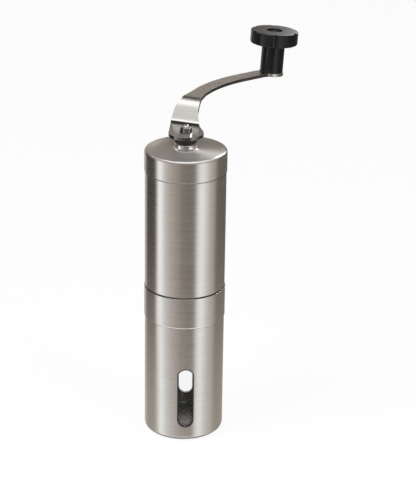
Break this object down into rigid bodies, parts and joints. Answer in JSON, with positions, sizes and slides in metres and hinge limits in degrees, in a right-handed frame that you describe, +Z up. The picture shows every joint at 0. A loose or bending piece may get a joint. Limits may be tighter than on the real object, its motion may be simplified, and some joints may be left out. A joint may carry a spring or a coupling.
{
  "type": "manual coffee grinder",
  "caption": "Slim steel hand grinder: hopper tube over a grounds cup with sight windows, conical burrs on a central shaft, and a curved flat crank with a turning knob.",
  "frame": {"origin": "centre of the cup's flat base, on the surface it stands on", "axes": "+Z up along the shaft, -Y towards the front sight window, +X to the right of it"},
  "size_m": [0.0975, 0.1216, 0.2295],
  "materials": {
    "brushed_steel": "fine circumferential brushing",
    "bright_steel": "polished",
    "black_plastic": "satin",
    "ceramic": "opaque fired ceramic",
    "rubber": "matte",
    "bronze": "machined",
    "clear_plastic": "clear and glossy"
  },
  "bodies": {
    "cup": {"grounds_cup": "brushed_steel", "front_window": "clear_plastic", "rear_window": "clear_plastic", "front_gasket": "rubber", "rear_gasket": "rubber"},
    "mill": {"hopper_tube": "brushed_steel", "burr_housing": "black_plastic", "lower_bush": "bronze", "outer_burr": "ceramic", "burr_retainer": "black_plastic", "retainer_screws": "bright_steel", "cup_seal_ring": "rubber"},
    "lid": {"lid_shell": "brushed_steel", "lid_liner": "black_plastic", "lid_bush": "bright_steel", "bush_clip": "bright_steel"},
    "shaft": {"drive_shaft": "bright_steel", "shaft_clip": "bright_steel", "thrust_washer": "bronze", "drive_pin": "bright_steel", "pressure_spring": "bright_steel"},
    "burr": {"inner_burr": "ceramic", "burr_carrier": "black_plastic", "spring_washer": "bright_steel"},
    "adjuster": {"adjuster_dial": "black_plastic", "adjuster_nut": "bronze"},
    "crank": {"crank_arm": "brushed_steel", "cap_nut": "bright_steel", "drive_socket": "bright_steel", "socket_sleeve": "black_plastic", "knob_pin": "bright_steel", "knob_washer": "black_plastic"},
    "knob": {"grip_knob": "black_plastic", "knob_bush": "bronze"}
  },
  "joints": [
    {"name": "mill_lift", "type": "slide", "parent": "cup", "child": "mill", "axis": [0, 0, 1], "range_m": [0, 0.06]},
    {"name": "lid_lift", "type": "slide", "parent": "mill", "child": "lid", "axis": [0, 0, 1], "range_m": [0, 0.06]},
    {"name": "shaft_turn", "type": "hinge", "parent": "mill", "child": "shaft", "pos_m": [0, 0, 0.11], "axis": [0, 0, 1], "continuous": true},
    {"name": "burr_set", "type": "slide", "parent": "shaft", "child": "burr", "axis": [0, 0, 1], "range_m": [-0.0012, 0.0004], "deforming": ["pressure_spring"]},
    {"name": "adjuster_turn", "type": "hinge", "parent": "burr", "child": "adjuster", "pos_m": [0, 0, 0.0735], "axis": [0, 0, 1], "range_deg": [-540, 180]},
    {"name": "crank_lift", "type": "slide", "parent": "shaft", "child": "crank", "axis": [0, 0, 1], "range_m": [0, 0.12]},
    {"name": "knob_spin", "type": "hinge", "parent": "crank", "child": "knob", "pos_m": [0.05688, 0.08151, 0.2025], "axis": [0.0625, 0.0415, 0.9972], "continuous": true}
  ],
  "couplings": [
    {"joint": "lid_lift", "follows": "crank_lift", "ratio": 0.5},
    {"joint": "adjuster_turn", "follows": "burr_set", "rad_per_m": 7853.9}
  ]
}
